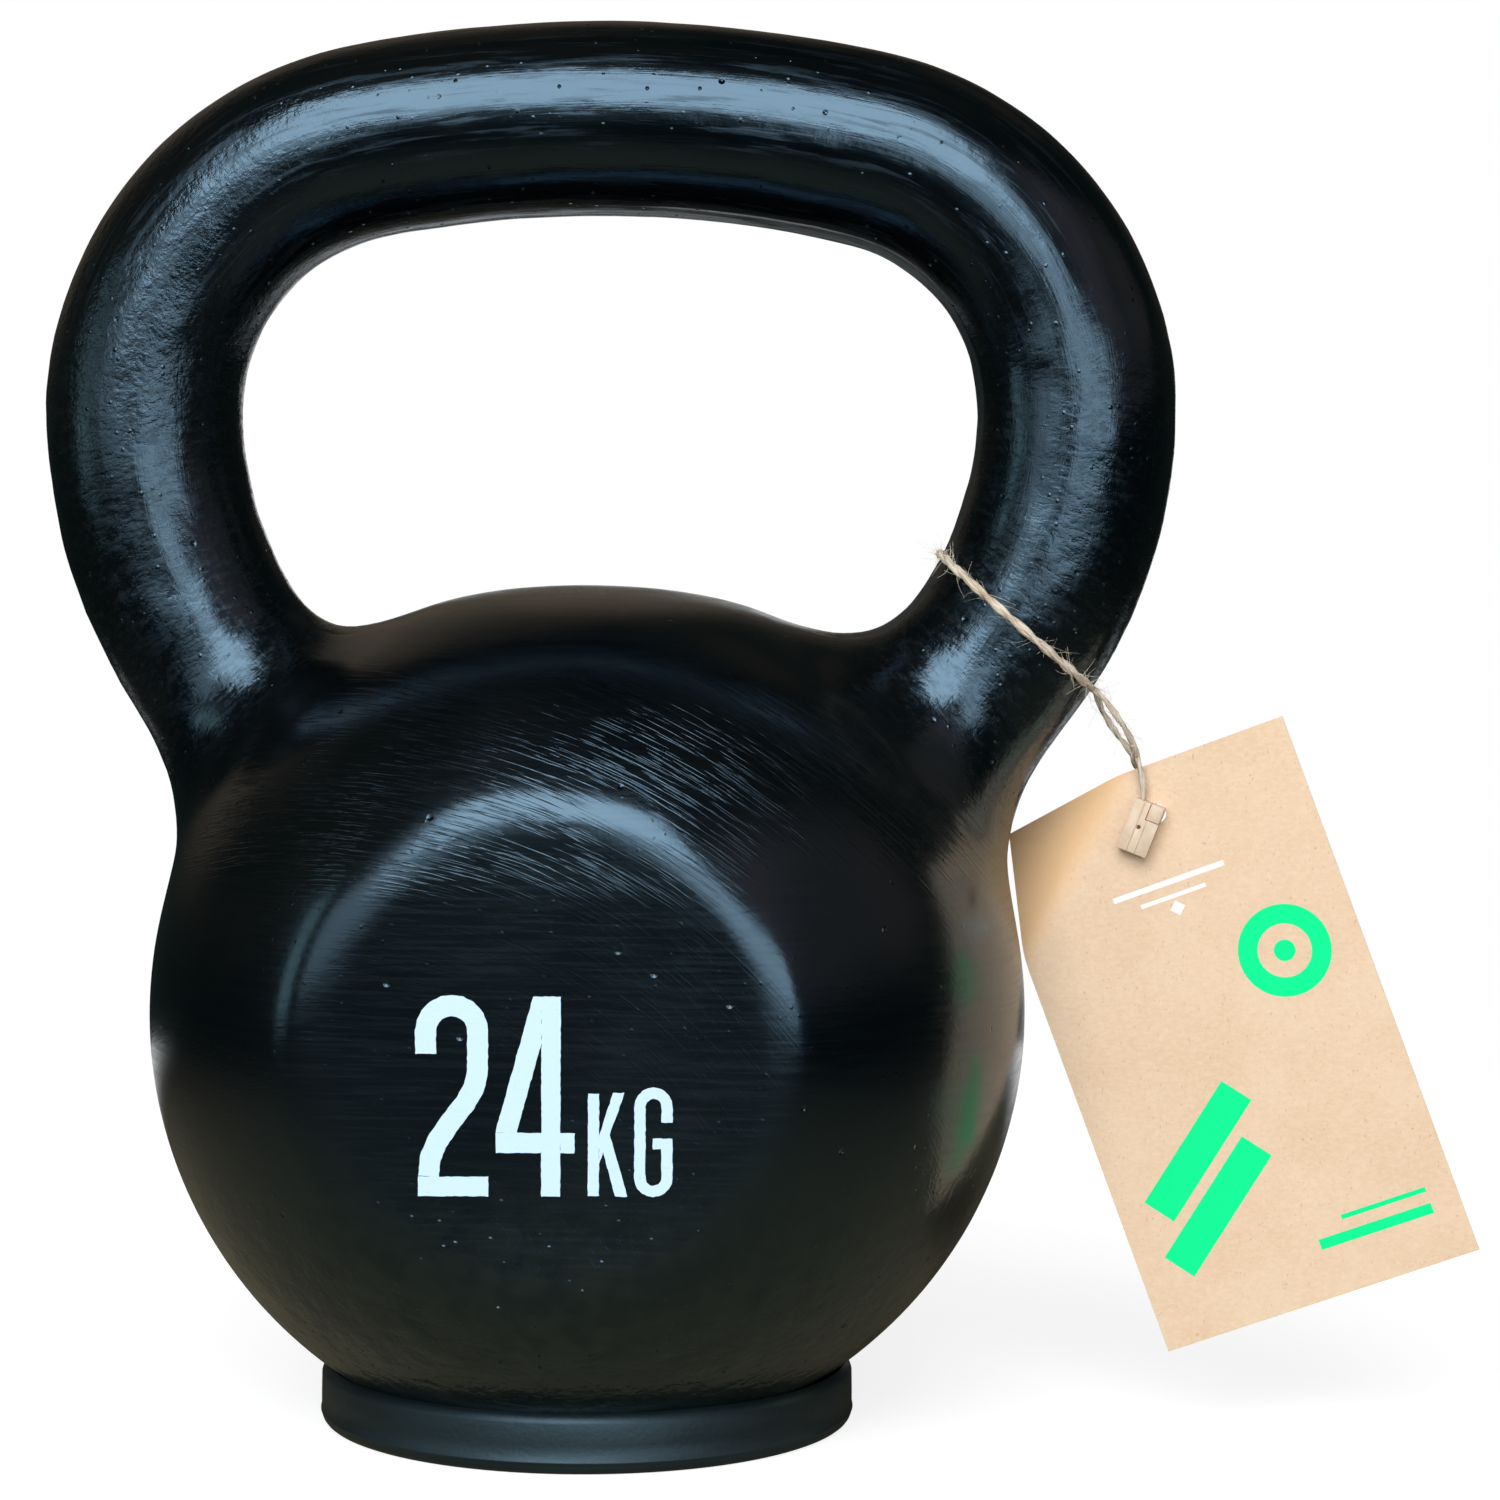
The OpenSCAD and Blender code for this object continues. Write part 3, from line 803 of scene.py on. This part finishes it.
bpy.ops.mesh.primitive_grid_add(
    x_subdivisions=72, y_subdivisions=56, size=1, location=(0, flat_y, (digit_top - 19) * MM),
    rotation=(math.radians(90), 0, 0),
)
mark = bpy.context.object
mark.name = "weight_mark"
mark.scale = (52 * MM, 41 * MM, 1)
bpy.ops.object.transform_apply(location=True, rotation=True, scale=True)
slab = mark.modifiers.new("slab", "SOLIDIFY")
slab.thickness = 1 * MM
slab.offset = 0
cut = mark.modifiers.new("cut", "BOOLEAN")
cut.operation = "INTERSECT"
cut.object = stencil
cut.use_self = True
apply_all(mark)
bpy.data.objects.remove(stencil)
bpy.ops.object.mode_set(mode="EDIT")
bpy.ops.mesh.select_all(action="DESELECT")
bpy.ops.object.mode_set(mode="OBJECT")
for face in mark.data.polygons:
    face.select = face.normal.y > -0.9
bpy.ops.object.mode_set(mode="EDIT")
bpy.ops.mesh.select_mode(type="FACE")
bpy.ops.mesh.delete(type="FACE")
bpy.ops.mesh.select_all(action="SELECT")
bpy.ops.mesh.remove_doubles(threshold=1e-5)
bpy.ops.object.mode_set(mode="OBJECT")
lay = mark.modifiers.new("lay", "SHRINKWRAP")
lay.target = casting
lay.wrap_method = "PROJECT"
lay.use_project_x = lay.use_project_z = False
lay.use_project_y = True
lay.use_negative_direction = lay.use_positive_direction = True
lay.offset = 0.05 * MM
coat = mark.modifiers.new("coat", "SOLIDIFY")
coat.thickness = 0.12 * MM
coat.offset = -1
apply_all(mark)

paint, bsdf, start = new_finish("white_paint", Roughness=0.45, Specular_IOR_Level=0.4)
place = start.add("ShaderNodeTexCoord", output=3)
thin = noise_of(start, stretched(start, place, 500, 500, 1600), 1, 4, 0.7)
join(thin.step(0.62, 0.8).mix((0.56, 0.74, 0.89, 1), (0.36, 0.48, 0.56, 1)), bsdf, "Base Color")
relief(thin, bsdf, 0.5, 0.1 * MM)
dress(mark, paint)
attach(mark, "bell")


# ---- Lock ----
# A string lock of two beige plastic mouldings: a socket with two ribs down its face, and a
# plug whose tongue snaps into it over the card's hole. It closes the ends of the twine.
plastic, bsdf, start = new_finish("lock_plastic", Roughness=0.4, IOR=1.5, Subsurface_Weight=0.1)
place = start.add("ShaderNodeTexCoord", output=3)
cloudy = noise_of(start, place, 300, 3)
join(cloudy.step(0.3, 0.7).mix((0.65, 0.465, 0.32, 1), (0.75, 0.57, 0.42, 1)), bsdf, "Base Color")
relief(cloudy, bsdf, 0.3, 0.1 * MM)
for node, name in (("lock_socket", "string_lock_socket"), ("lock_plug", "string_lock_plug")):
    half = merged_copy(node, name)
    bpy.ops.object.mode_set(mode="EDIT")
    bpy.ops.mesh.select_all(action="SELECT")
    bpy.ops.mesh.dissolve_limited(angle_limit=math.radians(3))
    bpy.ops.object.mode_set(mode="OBJECT")
    soft = half.modifiers.new("soft", "BEVEL")
    soft.width = 0.14 * MM
    soft.segments = 3
    soft.limit_method = "ANGLE"
    soft.angle_limit = math.radians(40)
    apply_all(half)
    bpy.ops.object.shade_smooth_by_angle(angle=math.radians(35))
    dress(half, plastic)
    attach(half, "tag")
    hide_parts(node)


# ---- Card ----
# The hang tag is one sheet of uncoated kraft board, held by the twine through its punched
# hole. Its upper inner corner is bent back, and its face is printed in green and white.
card_w, card_h, card_t = 67, 115, 0.42
hole = Vector((116.5, 1.0, 126.6)) * MM
hole_from_left, hole_from_top = 36.0, 9.9
card_turn = (
    Matrix.Translation(hole)
    @ Matrix.Rotation(math.radians(-8), 4, "Z")
    @ Matrix.Rotation(math.radians(-20.9), 4, "Y")
)
crease_top, crease_side = 34, 30
bend = math.radians(42)
bend_r = 9
bpy.ops.object.select_all(action="DESELECT")
bpy.ops.mesh.primitive_grid_add(x_subdivisions=67, y_subdivisions=115, size=1, location=(0, 0, 0))
card = bpy.context.object
card.name = "kraft_card"
layer = card.data.uv_layers.active or card.data.uv_layers.new(name="UVMap")
layer.name = "print"
crease = Vector((crease_top, crease_side)).normalized()
crease_out = Vector((-crease.y, crease.x))
bend_from = -bend_r * math.tan(bend / 2)
for v in card.data.vertices:
    u, w = (v.co.x + 0.5) * card_w, (v.co.y - 0.5) * card_h
    from_side = Vector((u, w + crease_side))
    d = from_side.dot(crease_out)
    back = 0.0
    if d > bend_from:
        a = min((d - bend_from) / bend_r, bend)
        rest = d - bend_from - a * bend_r
        flat = bend_from + bend_r * math.sin(a) + rest * math.cos(a)
        back = bend_r * (1 - math.cos(a)) + rest * math.sin(a)
        moved = Vector((u, w)) + crease_out * (flat - d)
        u, w = moved.x, moved.y
    v.co = card_turn @ (Vector((u - hole_from_left, back, w + hole_from_top)) * MM)
board = card.modifiers.new("board", "SOLIDIFY")
board.thickness = card_t * MM
board.offset = 1
bpy.ops.mesh.primitive_cylinder_add(vertices=32, radius=2.1 * MM, depth=6 * MM)
punch = bpy.context.object
punch.matrix_world = card_turn @ Matrix.Rotation(math.radians(90), 4, "X")
hole_cut = card.modifiers.new("hole", "BOOLEAN")
hole_cut.object = punch
apply_all(card)
bpy.data.objects.remove(punch)
bpy.ops.object.shade_smooth_by_angle(angle=math.radians(40))


def kraft(name, printed):
    material, bsdf, start = new_finish(name, Roughness=0.85, Specular_IOR_Level=0.25)
    place = start.add("ShaderNodeTexCoord", output=3)
    pulp = noise_of(start, place, 60, 4, 0.6)
    fleck = noise_of(start, stretched(start, place, 1700, 1700, 900), 1, 2, 0.6)
    fluff = noise_of(start, stretched(start, place, 700, 700, 1300), 1, 4, 0.7)
    base = pulp.step(0.2, 0.8).mix((0.70, 0.495, 0.325, 1), (0.76, 0.56, 0.385, 1))
    base = (fluff.step(0.35, 0.7) * 0.35).mix(base, (0.86, 0.68, 0.50, 1))
    base = (fleck.step(0.64, 0.74) * 0.45).mix(base, (0.42, 0.27, 0.15, 1))
    if printed:
        base = printed(start, base)
    join(base, bsdf, "Base Color")
    relief(pulp + fleck, bsdf, 0.4, 0.08 * MM)
    return material


def prints(start, base):
    """Green and white flat shapes, and the painted light on the bent corner, placed in millimetres
    from the card's upper left corner.
    """
    right, up, _ = parts_of(start.add("ShaderNodeUVMap", {"uv_map": "print"}))
    u, v = right * card_w, (1 - up) * card_h

    def slab(cx, cy, half_w, half_h, degrees=0.0):
        c, s = math.cos(math.radians(degrees)), math.sin(math.radians(degrees))
        across = abs((u - cx) * c + (v - cy) * s)
        down = abs((v - cy) * c - (u - cx) * s)
        return (across - half_w).larger(down - half_h)

    def disc(cx, cy, r):
        return ((u - cx) * (u - cx) + (v - cy) * (v - cy)) ** 0.5 - r

    def union(shapes):
        total = shapes[0]
        for shape in shapes[1:]:
            total = total.smaller(shape)
        return total

    green = union([
        disc(51, 45, 9.5).larger(5.5 - disc(51, 45, 0)),
        disc(51, 45, 2.2),
        slab(20, 78, 15, 3.6, -38),
        slab(20, 90, 15, 3.6, -38),
        slab(49, 104, 12, 1.1),
        slab(52, 100, 9, 0.5),
    ])
    white = union([
        slab(33.5, 24, 12, 0.55), slab(33.5, 27, 7, 0.4), slab(33.5, 29.6, 1.1, 1.1, 45),
    ])
    # painted light: the bent-back corner is coloured lighter and warmer to make up for the shade
    # the bell casts on it
    corner_painted_light = 1 - (u / crease_top + v / crease_side).step(0.8, 1.15)
    base = (corner_painted_light * 0.85).mix(base, (0.95, 0.595, 0.31, 1))
    ink = (0.0, 0.82, 0.27, 1)
    base = (1 - green.step(-0.08, 0.08)).mix(base, ink)
    return (1 - white.step(-0.08, 0.08)).mix(base, (0.92, 0.93, 0.92, 1))


dress(card, kraft("kraft_printed", prints))
card.data.materials.append(kraft("kraft_plain", None))
card_front = card_turn.to_3x3() @ Vector((0, -1, 0))
for face in card.data.polygons:
    face.material_index = 0 if face.normal.dot(card_front) > 0.5 else 1
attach(card, "tag")
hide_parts("tag_card")
